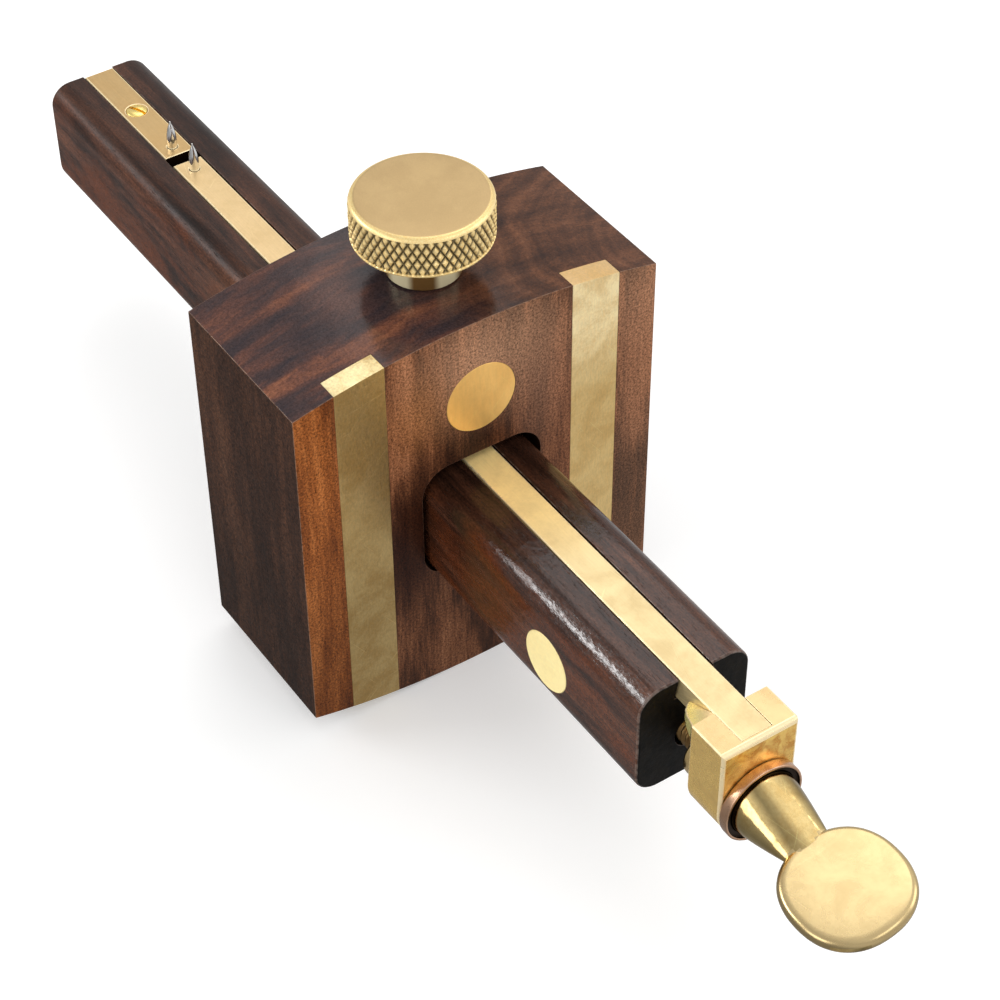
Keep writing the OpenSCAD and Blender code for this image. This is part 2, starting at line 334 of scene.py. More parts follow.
class Shade(Nodes):
    """Node tree of one Principled material, with lengths in millimetres."""

    def __init__(self, name, **constants):
        self.material = bpy.data.materials.new(name)
        self.material.use_nodes = True
        super().__init__(self.material.node_tree)
        self.bsdf = self.tree.nodes.new("ShaderNodeBsdfPrincipled")
        self.node("OutputMaterial", {0: self.bsdf.outputs[0]})
        self.normal = self.node("TexCoord", {}, "Normal")
        self.p = self.vector("MULTIPLY", self.node("TexCoord", {}, "Object"), (1000, 1000, 1000))
        for key, value in constants.items():
            self.set(key.replace("_", " "), value)

    def set(self, name, value):
        if isinstance(value, bpy.types.NodeSocket):
            self.tree.links.new(value, self.bsdf.inputs[name])
        else:
            self.bsdf.inputs[name].default_value = value

    def math(self, op, a, b=0.0):
        return self.node("Math", {0: a, 1: b}, operation=op)

    def times(self, a, *others):
        """Product of sockets and numbers."""
        for b in others:
            a = self.math("MULTIPLY", a, b)
        return a

    def vector(self, op, a, b):
        return self.node("VectorMath", {0: a, 1: b}, operation=op)

    def stretch(self, scale, p=None):
        return self.vector("MULTIPLY", p or self.p, scale)

    def distance(self, centre, size=(1, 1, 1), p=None):
        """Distance from a centre (mm), with each axis stretched."""
        away = self.vector("SUBTRACT", p or self.p, centre)
        return self.node("VectorMath", {0: self.stretch(size, away)}, "Value", operation="LENGTH")

    def axis(self, which, v=None):
        return self.node("SeparateXYZ", {0: v or self.p}, which)

    def span(self, x, a, b, lo=0.0, hi=1.0, smooth=True):
        """Goes from lo to hi while x goes from a to b."""
        ends = {"Value": x, "From Min": a, "From Max": b, "To Min": lo, "To Max": hi}
        return self.node("MapRange", ends, interpolation_type="SMOOTHSTEP" if smooth else "LINEAR")

    def along(self, which, a, b, *ends):
        """Rise between two places (mm) on an axis."""
        return self.span(self.axis(which), a, b, *ends)

    def facing(self, which, a, b):
        """Rise between two values of the normal's share on an axis."""
        return self.span(self.axis(which, self.normal), a, b)

    def noise(self, scale, detail=3.0, rough=0.5, distortion=0.0, p=None, out="Fac"):
        each = scale if isinstance(scale, tuple) else (scale, scale, scale)
        inputs = {"Scale": 1.0, "Detail": detail, "Roughness": rough, "Distortion": distortion}
        return self.node("TexNoise", {**inputs, "Vector": self.stretch(each, p)}, out)

    def warp(self, scale, reach, p=None):
        """Coordinates pushed about by slow noise."""
        n = self.noise(scale, 2.0, p=p, out="Color")
        push = self.vector("MULTIPLY", self.vector("SUBTRACT", n, (0.5, 0.5, 0.5)), reach)
        return self.vector("ADD", p or self.p, push)

    def blob(self, at, size, inner=0.0):
        """One near a point (mm), fading to nothing at an ellipsoid."""
        shrink = tuple(1 / c for c in size)
        return self.span(self.distance(at, shrink), inner, 1.0, 1.0, 0.0)

    def shells(self, centre, size, scale, p=None):
        """One-dimensional noise of the distance from a centre (mm): growth rings."""
        inputs = {"W": self.distance(centre, size, p), "Scale": scale, "Detail": 3.0}
        return self.node("TexNoise", inputs, "Fac", noise_dimensions="1D")

    def mix(self, a, b, f, blend="MIX"):
        a, b = [(*c, 1) if isinstance(c, tuple) else c for c in (a, b)]
        return self.node("Mix", {0: f, 6: a, 7: b}, 2, data_type="RGBA", blend_type=blend)

    def lighter(self, colour, amount):
        """Colour times a grey amount."""
        return self.node("VectorMath", {0: colour, "Scale": amount}, operation="SCALE")

    def dim(self, colour, mask, factor):
        """Colour times a factor where the mask is one."""
        return self.lighter(colour, self.span(mask, 0, 1, 1.0, factor))

    def bump(self, height, distance, strength=1.0, under=None):
        inputs = {"Strength": strength, "Distance": distance * MM, "Height": height}
        return self.node("Bump", {**inputs, "Normal": under} if under else inputs)

    def finish(self, colour, rough, normal=None):
        self.set("Base Color", colour)
        self.set("Roughness", rough)
        if normal:
            self.set("Normal", normal)
        return self.material


def total(s, *parts):
    """Weighted sum of (socket, weight) parts."""
    out = None
    for x, w in parts:
        term = s.times(x, w)
        out = term if out is None else s.math("ADD", out, term)
    return out


# ---- materials
def front_shade_and_sheen(s, front, along, blotch):
    """Painted shadow and reflection of the beam next to it, painted sheen near the top and the right
    edge.
    """
    # painted shadow and reflection of the dark beam, left of the mortise
    dark = s.times(front, s.blob((0, -12.5, 31), (12, 8, 19), 0.25))
    along = s.mix(along, (0.022, 0.005, 0.002), s.times(dark, 0.9))
    # painted sheen near the top and at the right edge
    pale = s.times(front, s.blob((0, 2, 61), (12, 20, 16)))
    right = s.times(s.along("Y", 19, 27), s.along("Z", 46, 62, 0.48, 1.0))
    painted_sheen = s.math("MAXIMUM", s.times(pale, 0.80), s.times(front, right, 0.42))
    painted_sheen = s.times(painted_sheen, s.span(blotch, 0.3, 0.65, 0.7, 1.0))
    along = s.mix(along, (0.44, 0.235, 0.135), painted_sheen)
    warm = s.times(front, s.blob((0, -11, 56), (12, 8, 11)))
    along = s.mix(along, (0.32, 0.125, 0.042), s.times(warm, 0.55))
    # painted sheen right of the nut
    middle_sheen = s.times(front, s.blob((0, 11, 51), (12, 9, 16)))
    return s.mix(along, (0.26, 0.125, 0.072), s.times(middle_sheen, 0.5))


def upright_grain(s, p, front):
    """Brown of the faces that run with the grain: soft bands and fine fibres up the stock."""
    blotch = s.noise((0.11, 0.10, 0.03), 3, 0.55, 0.2, p)
    streak = s.noise((0.6, 0.5, 0.03), 4, 0.6, 0.2, p)
    fibre = s.noise((3.0, 2.6, 0.16), 3, 0.65, 0.0, p)
    x = total(s, (blotch, 0.62), (streak, 0.38), (fibre, 0.26))
    brown = s.ramp(x, [(0.50, (0.034, 0.013, 0.007)), (0.60, (0.090, 0.033, 0.015)),
                       (0.68, (0.20, 0.075, 0.033)), (0.84, (0.37, 0.155, 0.072))])
    orange = s.ramp(x, [(0.50, (0.10, 0.026, 0.007)), (0.64, (0.25, 0.073, 0.016)),
                        (0.82, (0.46, 0.155, 0.040))])
    corner = s.times(front, s.span(s.axis("Y", p), -21.5, -25.5))
    along = s.mix(brown, orange, corner)
    # painted shade: faces that look left are darker and browner
    side = s.facing("Y", -0.6, -0.8)
    along = s.dim(along, side, 0.55)
    along = s.mix(along, (0.072, 0.030, 0.016), s.times(side, 0.5))
    # painted shade on every face but the front
    along = s.lighter(along, s.span(front, 0, 1, 0.55, 1.0))
    along = s.lighter(along, s.span(s.axis("Z", p), 12, 45, 0.62, 1.0))
    return front_shade_and_sheen(s, front, along, blotch), fibre


def figured_top(s, p):
    """Slate and red-brown tongues at one end of the top, curved rings at the other."""
    q = s.warp((0.05, 0.04, 0.04), (8, 12, 4))
    q = s.warp((0.2, 0.12, 0.1), (1.6, 2.4, 1), q)
    tongues = s.noise((0.20, 0.040, 0.06), 3, 0.55, 0.3, q)
    rings = s.noise((0.62, 0.12, 0.2), 4, 0.6, 0.4, q)
    curves = s.shells((-6, 44, 60), (1.0, 0.8, 0.5), 0.55, q)
    dots = s.noise((2.6, 1.1, 2.0), 3, 0.65, 0.0, q)
    t = total(s, (tongues, 0.85), (rings, 0.28), (dots, 0.16))
    left_end = s.ramp(t, [(0.50, (0.030, 0.023, 0.027)), (0.62, (0.052, 0.031, 0.030)),
                          (0.72, (0.095, 0.042, 0.032)), (0.82, (0.19, 0.072, 0.040)),
                          (0.94, (0.28, 0.12, 0.065))])
    u = total(s, (tongues, 0.45), (rings, 0.36), (curves, 0.30), (dots, 0.18))
    right_end = s.ramp(u, [(0.48, (0.036, 0.013, 0.007)), (0.62, (0.080, 0.030, 0.014)),
                           (0.74, (0.135, 0.051, 0.023)), (0.9, (0.21, 0.085, 0.040))])
    top = s.mix(left_end, right_end, s.span(s.axis("Y", p), -6, 8))
    blush = s.times(s.blob((-17, -13, 61), (11, 8, 12)), s.span(rings, 0.35, 0.6, 0.5, 0.9))
    return s.mix(top, (0.26, 0.105, 0.065), blush)


def rosewood(name="rosewood", edge=0.0):
    """Wood of the stock; edge is how far it is worn pale."""
    s = Shade(name)
    p = s.warp((0.03, 0.03, 0.012), (6, 6, 10))
    front = s.facing("X", 0.6, 0.8)
    up = s.facing("Z", 0.55, 0.8)
    along, fibre = upright_grain(s, p, front)
    colour = s.mix(along, figured_top(s, p), up)
    # open pores and a few pale specks in the polish
    pores = s.span(s.noise((4.6, 4.6, 0.6), 2, 0.7), 0.60, 0.70)
    pits = s.span(s.noise(2.6, 2, 0.6), 0.71, 0.76)
    grit = s.noise(2.7, 4, 0.8)
    coarse = s.math("SUBTRACT", 1.0, s.times(up, 0.5))
    pores = s.times(pores, coarse)
    colour = s.mix(colour, (0.012, 0.005, 0.003), s.times(pores, 0.6))
    shade = s.span(grit, 0.3, 0.7, -0.95, 0.95, False)
    colour = s.lighter(colour, s.math("ADD", 1.0, s.times(shade, coarse)))
    specks = s.span(s.noise(1.5, 3, 0.75), 0.735, 0.77)
    colour = s.mix(colour, (0.42, 0.26, 0.19), s.times(specks, 0.4))
    if edge:
        wear = s.span(s.noise(0.9, 3, 0.6), 0.34, 0.6, 0.25, 1.0)
        colour = s.mix(colour, (0.30, 0.18, 0.12), s.times(wear, edge))
    gloss = s.span(s.noise(0.5, 3, 0.6), 0.35, 0.7, -0.02, 0.03)
    rough = total(s, (s.span(up, 0, 1, 0.42, 0.12), 1.0), (gloss, 1.0), (pores, 0.12))
    height = total(s, (fibre, 0.5), (pores, -0.8), (pits, -1.2), (grit, 0.35))
    waves = s.noise((0.11, 0.11, 0.07), 2, 0.5)
    s.set("Specular IOR Level", s.span(up, 0, 1, 0.08, 0.20))
    return s.finish(colour, rough, s.bump(waves, 0.30, 0.5, s.bump(height, 0.028, 0.7)))


def beam_wood(name="beam_wood", edge=0.0, level=0.34):
    """Dark wood of the beam; edge is how far it is worn pale, level how strong the polish is."""
    s = Shade(name)
    p = s.warp((0.012, 0.05, 0.05), (10, 3, 3))
    broad = s.noise((0.03, 0.16, 0.16), 3, 0.6, 0.3, p)
    streak = s.noise((0.045, 0.7, 0.7), 4, 0.6, 0.2, p)
    fine = s.noise((0.2, 3.6, 3.6), 3, 0.6, 0.0, p)
    x = total(s, (broad, 0.70), (streak, 0.42), (fine, 0.28))
    far = s.span(s.axis("X", p), -20, -60)
    x = s.math("ADD", x, s.times(far, 0.01))
    colour = s.ramp(x, [(0.52, (0.014, 0.007, 0.006)), (0.65, (0.032, 0.013, 0.008)),
                        (0.76, (0.070, 0.027, 0.015)), (0.90, (0.13, 0.048, 0.024))])
    # redder, warmer wood low on the side and where the beam leaves the stock
    side = s.facing("Y", -0.5, -0.8)
    patch = s.span(s.noise((0.05, 0.14, 0.14), 3, 0.6, 0.4, p), 0.42, 0.66)
    colour = s.mix(colour, (0.105, 0.027, 0.008), s.times(side, patch, 0.8))
    behind = s.times(side, s.along("X", -76, -36), s.along("X", -10, -30))
    behind = s.times(behind, s.span(broad, 0.35, 0.65, 0.3, 0.9))
    colour = s.mix(colour, (0.24, 0.085, 0.030), behind)
    inland = s.times(far, s.math("SUBTRACT", 1.0, side))
    colour = s.dim(colour, inland, 0.62)
    # painted shadow of the stock on top where the beam leaves it, and nearly black on the end grain
    stock_shadow = s.times(s.along("X", 18, 3), s.along("X", -12, -8), s.facing("Z", 0.5, 0.9))
    colour = s.dim(colour, stock_shadow, 0.5)
    end = s.span(s.math("ABSOLUTE", s.axis("X", s.normal)), 0.6, 0.8)
    rings = s.noise((0.2, 0.9, 0.35), 4, 0.65, 0.6)
    charcoal = s.ramp(rings, [(0.35, (0.001, 0.001, 0.001)), (0.65, (0.007, 0.005, 0.003))])
    colour = s.mix(colour, charcoal, end)
    pores = s.span(s.noise((0.45, 4.6, 4.6), 2, 0.7), 0.61, 0.71)
    colour = s.mix(colour, (0.008, 0.004, 0.003), s.times(pores, 0.6))
    grit = s.noise((2.2, 3.2, 3.2), 4, 0.8)
    colour = s.lighter(colour, s.span(grit, 0.3, 0.7, 0.4, 1.6, False))
    if edge:
        wear = s.span(s.noise(1.2, 3, 0.6), 0.4, 0.62, 0.1, 1.0)
        colour = s.mix(colour, (0.20, 0.15, 0.125), s.times(wear, edge))
    # polish: strongest in flecks on the rounded left corner, dull towards the pins
    shine = s.span(far, 0, 1, level, level * 0.6)
    if level > 0.2:
        corner = s.times(s.facing("Y", -0.25, -0.5), s.facing("Z", 0.2, 0.45), s.along("X", 8, 40))
        flecks = s.span(s.noise((1.1, 2.4, 2.4), 4, 0.75), 0.40, 0.60, 0.1, 1.0)
        shine = s.math("ADD", s.times(corner, flecks), shine)
    s.set("Specular IOR Level", s.times(s.span(stock_shadow, 0, 1, 1.0, 0.45), shine))
    gloss = s.span(s.noise((0.35, 0.5, 0.5), 3, 0.6), 0.3, 0.7, 0.13, 0.22)
    rough = total(s, (gloss, 1.0), (far, 0.17), (end, 0.35), (pores, 0.12))
    height = total(s, (fine, 0.5), (pores, -0.9), (grit, 0.25))
    normal = s.bump(height, 0.03, 0.7)
    lumps = s.noise((0.5, 0.8, 0.8), 3, 0.6)
    calm = s.times(lumps, s.math("SUBTRACT", 1.0, s.times(far, 0.8)))
    return s.finish(colour, rough, s.bump(calm, 0.10, 0.8, normal))


def slot_wood_shaded():
    """Raw wood inside the groove and the bores, nearly black as painted shade."""
    s = Shade("slot_wood_shaded", Specular_IOR_Level=0.1)
    n = s.noise((0.4, 2.5, 2.5), 3, 0.6)
    return s.finish(s.ramp(n, [(0.35, (0.004, 0.003, 0.002)), (0.65, (0.014, 0.008, 0.005))]), 0.8)


def brass(name, tone, rough, grain=1.2, depth=0.01, mottle=0.08, scratch=0.0,
          rough_var=0.05, waves=0.0, metal=1.0, far=None, fade=None, front=None, cap=None,
          near=None, side=None, rear=None, bands=None):
    """Brass with a brushed grain (noise scale per mm on each axis), tarnish and scratches.

    far is the tone at the pins' end and fade two (height, factor) pairs of painted shading. cap,
    side, front and rear are painted lit and shaded tones of faces that look up, left, along the
    beam and back. near is a stretch that is less of a mirror and painted lighter: axis, start,
    end, tone and metallic value. bands are greys of painted light and shade across a turned part,
    from left to right.
    """
    s = Shade(name, Metallic=metal)
    dull = tuple(c * k for c, k in zip(tone, (0.72, 0.62, 0.48)))
    cloud = s.noise(0.16, 4, 0.65, 0.4)
    speck = s.noise(2.4, 3, 0.7)
    lines = s.noise(grain, 3, 0.65)
    t = total(s, (cloud, 0.6), (speck, 0.25), (lines, 0.15))
    colour = tone
    if far:
        colour = s.mix(far, tone, s.along("X", -35, 25))
    # painted light over the near stretch
    if near:
        which, rise, fall, bright, soft = near
        close = s.times(s.span(s.axis(which), *rise), s.span(s.axis(which), *fall))
        colour = s.mix(colour, bright, close)
        s.set("Metallic", s.span(close, 0, 1, metal, soft))
    # painted lit and shaded tones by the way a face looks
    if cap:
        colour = s.mix(colour, cap, s.facing("Z", 0.5, 0.7))
    if side:
        colour = s.mix(colour, side, s.facing("Y", -0.6, -0.9))
    if front:
        ahead = s.facing("X", 0.6, 0.9)
        stain = s.span(s.noise(0.45, 4, 0.65, 0.6), 0.4, 0.66)
        low = tuple(c * k for c, k in zip(front, (0.66, 0.48, 0.30)))
        colour = s.mix(colour, s.mix(front, low, stain), ahead)
    colour = s.mix(colour, dull, s.span(t, 0.40, 0.64, 0.0, min(1.0, mottle * 5)))
    # painted shading that changes with height
    if fade:
        (z0, f0), (z1, f1) = fade
        colour = s.lighter(colour, s.along("Z", z0, z1, f0, f1))
    colour = s.lighter(colour, s.span(lines, 0.3, 0.7, 1 - mottle, 1 + mottle, False))
    # painted light on faces that look back
    if rear:
        colour = s.mix(colour, rear, s.facing("X", -0.1, -0.4))
    # painted light and shade across a turned part
    if bands:
        across = s.span(s.axis("Y", s.normal), -1, 1, 0.0, 1.0, False)
        colour = s.mix(colour, s.ramp(across, bands), 1.0, "MULTIPLY")
    height = total(s, (lines, 1.0), (speck, 0.5))
    r = s.math("ADD", s.span(cloud, 0.3, 0.7, rough - rough_var, rough + rough_var),
               s.span(lines, 0.3, 0.7, -rough_var / 2, rough_var / 2))
    if scratch:
        for turn, seed in ((0.9, 3.0), (-0.55, 41.0), (1.9, 87.0)):
            moved = s.vector("ADD", s.p, (seed, seed * 0.7, seed * 0.4))
            inputs = {"Vector": moved, "Rotation": (turn, turn * 0.6, turn * 0.3)}
            turned = s.node("VectorRotate", inputs, rotation_type="EULER_XYZ")
            thin = s.noise((0.05, 3.2, 0.11), 1, 0.4, 0.0, turned)
            line = s.times(s.span(thin, 0.735, 0.765), scratch)
            colour = s.mix(colour, tuple(min(1.0, c * 1.35) for c in tone), line)
            height = s.math("SUBTRACT", height, s.times(line, 2.0))
    normal = s.bump(height, depth, 1.0)
    if waves:
        normal = s.bump(s.noise(0.3, 2, 0.5), waves, 1.0, normal)
    return s.finish(colour, r, normal)


def knob_brass():
    """Blasted top and diamonds that catch the light around the head, with painted shade down in the
    cuts.
    """
    s = Shade("brass_knob")
    cloud = s.noise(0.2, 4, 0.6)
    fine = s.noise(6, 3, 0.7)
    up = s.facing("Z", 0.93, 0.985)
    matt = s.mix((0.49, 0.345, 0.17), (0.55, 0.395, 0.20), s.span(cloud, 0.35, 0.65))
    cutc = s.mix((0.95, 0.66, 0.26), (1.0, 0.80, 0.40), s.span(fine, 0.35, 0.65))
    head, radius = LOCK_HI.x - LOCK_X, s.distance((LOCK_X, 0, 0), (1, 1, 0))
    # painted shade deep in the cuts, fading out near the top
    depth = s.math("ADD", s.span(radius, head - 0.45, head - 0.12, 0.10, 1.0),
                   s.along("Z", LOCK_HI.z - 1.0, LOCK_HI.z - 0.75))
    cutc = s.lighter(cutc, s.math("MINIMUM", depth, 1.0))
    colour = s.lighter(s.mix(cutc, matt, up), s.span(fine, 0.3, 0.7, 0.93, 1.07, False))
    rough = total(s, (s.span(up, 0, 1, 0.2, 0.34), 1.0), (s.facing("Z", 0.2, 0.6), 0.18),
                  (s.span(cloud, 0.3, 0.7, -0.04, 0.04), 1.0))
    s.set("Metallic", s.span(s.axis("Z", s.normal), 0.5, 0.9, 0.4, 1.0))
    turned = s.noise((0.4, 0.4, 5.0), 2, 0.6)
    height = total(s, (fine, 0.6), (turned, 0.4))
    return s.finish(colour, rough, s.bump(height, 0.02, 0.9))


def stem_painted_light():
    """Polished collar under the head, with two painted highlights and painted shade between them."""
    s = Shade("brass_stem_painted_light", Metallic=0.3)
    # painted highlights where the collar faces across the view, painted shade between
    across = s.node("VectorMath", {0: s.normal, 1: (0.545, 0.838, 0)}, "Value",
                    operation="DOT_PRODUCT")
    highlight_band = s.math("ABSOLUTE", s.math("SUBTRACT", s.math("ABSOLUTE", across), 0.58))
    colour = s.mix((0.22, 0.115, 0.035), (1.0, 0.88, 0.56), s.span(highlight_band, 0.36, 0.14))
    return s.finish(colour, 0.22, s.bump(s.noise((0.3, 0.3, 3.0), 3, 0.6), 0.01, 1.0))


def steel():
    """Ground and polished marking pins."""
    s = Shade("steel_pin", Metallic=1.0)
    lines = s.noise((3, 3, 14), 3, 0.6)
    cloud = s.noise(0.8, 3, 0.6)
    colour = s.mix((0.78, 0.78, 0.77), (0.95, 0.95, 0.94), s.span(cloud, 0.35, 0.65))
    rough = s.span(lines, 0.3, 0.7, 0.10, 0.2)
    return s.finish(colour, rough, s.bump(lines, 0.01, 0.6))


ROSEWOOD, ROSEWOOD_EDGE = rosewood(), rosewood("rosewood_edge", 0.5)
BEAM_WOOD, BEAM_EDGE = beam_wood(), beam_wood("beam_edge", 0.5)
BEAM_END, SLOT_WOOD_SHADED = beam_wood("beam_end", 0.0, 0.12), slot_wood_shaded()
# brass: name, tone, roughness, grain, depth of the grain (mm), mottle, scratches
# the strips: painted shading with height, painted tones on the caps, painted light high on the right
LEFT_STRIP = brass("brass_strip_left", (0.64, 0.455, 0.195), 0.42, (3.0, 3.0, 1.2), 0.02, 0.16, 0.3,
                   fade=((18, 0.8), (52, 1.15)), cap=(0.86, 0.74, 0.42))
RIGHT_STRIP = brass("brass_strip", (0.88, 0.63, 0.27), 0.40, (3.0, 3.0, 0.8), 0.018, 0.12, 0.3,
                    cap=(0.70, 0.47, 0.22), near=("Z", (44, 61), (99, 98), (1.0, 0.82, 0.46), 0.5))
# painted light on the slide near the stock
SLIDE_BRASS = brass("brass_slide", (0.71, 0.565, 0.30), 0.38, (0.12, 5.0, 5.0), 0.012, 0.07, 0.3,
                    metal=0.65, far=(0.76, 0.55, 0.285),
                    near=("X", (-6, 0), (27, 14), (1.0, 0.73, 0.30), 0.1))
PLATE_BRASS = brass("brass_plate", (0.63, 0.43, 0.20), 0.36, (0.12, 5.0, 5.0), 0.012, 0.06, 0.3)
DISC_BRASS = brass("brass_disc", (0.98, 0.58, 0.17), 0.36, (1.4, 1.4, 0.3), 0.02, 0.06, 0.2, metal=0.55)
BUTTON_BRASS = brass("brass_button", (1.0, 0.84, 0.40), 0.45, (1.4, 0.3, 1.4), 0.02, 0.05, 0.2,
                     metal=0.1)
HEAD_BRASS = brass("brass_head", (0.95, 0.74, 0.26), 0.25, 2.0, 0.01, 0.05, 0.2)
# painted lit and shaded tones on the block's front, left and rear faces
BLOCK_BRASS = brass("brass_block", (0.61, 0.44, 0.215), 0.26, 1.0, 0.008, 0.07, 0.3, 0.05, 0.03,
                    metal=0.7, front=(1.0, 0.66, 0.17), side=(0.86, 0.58, 0.18), rear=(1.0, 0.88, 0.34))
# painted highlight on the bevelled edges of the plate, slide and block
EDGE_HIGHLIGHT_BRASS = brass("brass_edge_highlight", (0.98, 0.80, 0.48), 0.3, 1.0, 0.01, 0.05, metal=0.5)
POLISHED_BRASS = brass("brass_polished", (0.93, 0.67, 0.30), 0.17, 1.0, 0.006, 0.04, 0.15, 0.04, 0.03)
RIM_BRASS = brass("brass_rim", (0.66, 0.41, 0.27), 0.28, 1.0, 0.008)
# darkened brass: painted shade on the adjusting screw's thread
THREAD_SHADE_BRASS = brass("brass_thread_shaded", (0.30, 0.19, 0.08), 0.35, 1.0, 0.01, 0.12)
# painted shade for the plate's end in its gap and the floor of the washer's cup
SHADE_BRASS = brass("brass_painted_shade", (0.030, 0.017, 0.010), 0.5, 1.0, 0.01, 0.12)
PADDLE_BRASS = brass("brass_paddle", (0.61, 0.465, 0.235), 0.26, (0.5, 0.18, 0.5), 0.006, 0.04, 0.1,
                     0.04, 0.02)
# painted light and shade across the neck
NECK_SHADING_BANDS = ((0.0, 0.5), (0.10, 0.9), (0.20, 1.0), (0.28, 0.42), (0.36, 0.5), (0.44, 1.0),
              (0.56, 1.0), (0.70, 0.62), (0.9, 0.28))
NECK_BRASS = brass("brass_neck", (0.95, 0.72, 0.32), 0.14, (0.2, 0.7, 0.7), 0.01, 0.14, 0.15, 0.04,
                   0.16, bands=NECK_SHADING_BANDS)
KNOB_BRASS, STEM_PAINTED_LIGHT = knob_brass(), stem_painted_light()
STEEL = steel()


# ---- stock
MORTISE_WIDE, MORTISE_TOP, MORTISE_CORNER = 21.2, BEAM_TOP + 1.4, 4.8
PAD_POCKET_R, SCREW_HOLE_R, POCKET_TOP = 4.8, 3.5, 46.95
TAP_R = 3.25  # of the lock nut
NUT_Z = (LOCK_NUT_LO.z + LOCK_NUT_HI.z) / 2
NUT_R = (LOCK_NUT_HI.z - LOCK_NUT_LO.z) / 2
STRIPS = ((-STRIP_HI.y, -STRIP_LO.y), (STRIP_LO.y, STRIP_HI.y))


def arched_outline(y0, y1, n):
    """Counter-clockwise (y, z) outline between the two arcs of the stock."""
    half = STOCK_HI.y
    low_r = (half ** 2 + SIDE_LO ** 2) / (2 * SIDE_LO)
    rise = STOCK_HI.z - SIDE_HI
    high_r = (half ** 2 + rise ** 2) / (2 * rise)
    ys = [y0 + (y1 - y0) * i / n for i in range(n + 1)]
    low = [(y, low_r - math.sqrt(low_r ** 2 - y ** 2)) for y in ys]
    high = [(y, STOCK_HI.z - high_r + math.sqrt(high_r ** 2 - y ** 2)) for y in ys]
    return low + high[::-1]


def stock_edges(m):
    """Full rounding on the outer corners, almost none where brass meets wood."""
    front = abs(m.x) < 0.1
    if front or abs(m.x - STOCK_LO.x) < 0.1:
        if abs(m.y) < MORTISE_WIDE / 2 + 0.1 and BEAM_LO.z - 1 < m.z < MORTISE_TOP + 0.5:
            return 0.8
        if front and min(abs(abs(m.y) - y) for y in (STRIP_LO.y, STRIP_HI.y)) < 0.1:
            return 0.10
        if front and abs(m.z - NUT_Z) < NUT_R + 0.2 and abs(m.y) < NUT_R + 0.2:
            return 0.10
        return 1.0
    if abs(abs(m.y) - STOCK_HI.y) < 0.1:
        return 1.0
    return 0.12 if m.z > 60 and abs(m.y) > 15 else 0.15


def add_stock():
    wood = prism("stock_wood", arched_outline(STOCK_LO.y, STOCK_HI.y, 48), STOCK_LO.x, 0)
    mortise = rounded(MORTISE_WIDE, BEAM_LO.z - 0.1, MORTISE_TOP, MORTISE_CORNER)
    under, over = -PAST, STOCK_HI.z + PAST
    rebates = [prism("rebate", [(a, under), (b, under), (b, over), (a, over)], STRIP_LO.x, PAST)
               for a, b in STRIPS]
    hole = [(0, BEAM_TOP), (PAD_POCKET_R, BEAM_TOP), (PAD_POCKET_R, POCKET_TOP),
            (SCREW_HOLE_R, POCKET_TOP), (SCREW_HOLE_R, over), (0, over)]
    cut(wood, prism("mortise", mortise, STOCK_LO.x - PAST, PAST), *rebates,
        rod(NUT_R + 0.02, LOCK_NUT_LO.x, PAST, "X", (0, 0, NUT_Z)),
        lathe("hole", hole, "Z", (LOCK_X, 0, 0)))
    bevel(wood, 0.38, stock_edges, 3, 1)
    done(wood, "stock", "rosewood", [ROSEWOOD, ROSEWOOD_EDGE], "stock")


def add_wear_strip(side, span, finish):
    """Brass bar of the stock's full height, a hair proud of the fence face."""
    strip = prism("inlay_" + side, arched_outline(*span, 10), STRIP_LO.x, 0.02)
    bevel(strip, 0.12, None, 2)
    done(strip, "stock", "brass_strip", [finish], "wear_strip_" + side)


def add_lock_nut():
    """Barrel nut: a faced end with a fine turned chamfer, tapped across for the lock screw."""
    back, r = LOCK_NUT_LO.x, NUT_R
    nut = lathe("cross_nut", [(0, back), (r - 0.3, back), (r, back + 0.3), (r, -0.08),
                              (r - 0.08, 0.03), (0, 0.03)], "X", (0, 0, NUT_Z), 128)
    cut(nut, rod(TAP_R, LOCK_NUT_LO.z - PAST, LOCK_NUT_HI.z + PAST, "Z", (LOCK_X, 0, 0)))
    done(nut, "stock", "brass_fitting", [DISC_BRASS], "lock_nut")


add_stock()
add_wear_strip("left", STRIPS[0], LEFT_STRIP)
add_wear_strip("right", STRIPS[1], RIGHT_STRIP)
add_lock_nut()


# ---- lock screw
HEAD_R, LOCK_COLLAR_R, SHANK_R, TIP_R = LOCK_HI.x - LOCK_X, 5.8, 3.2, 1.8
HEAD_Z, LOCK_COLLAR_Z = LOCK_HI.z - 7.0, LOCK_HI.z - 13.0  # undersides of head and collar
KNURLS, KNURL_PITCH, KNURL_DEEP = 49, 2.3, 0.48
KNURL_STEPS, STEPS_AROUND = 20, 8


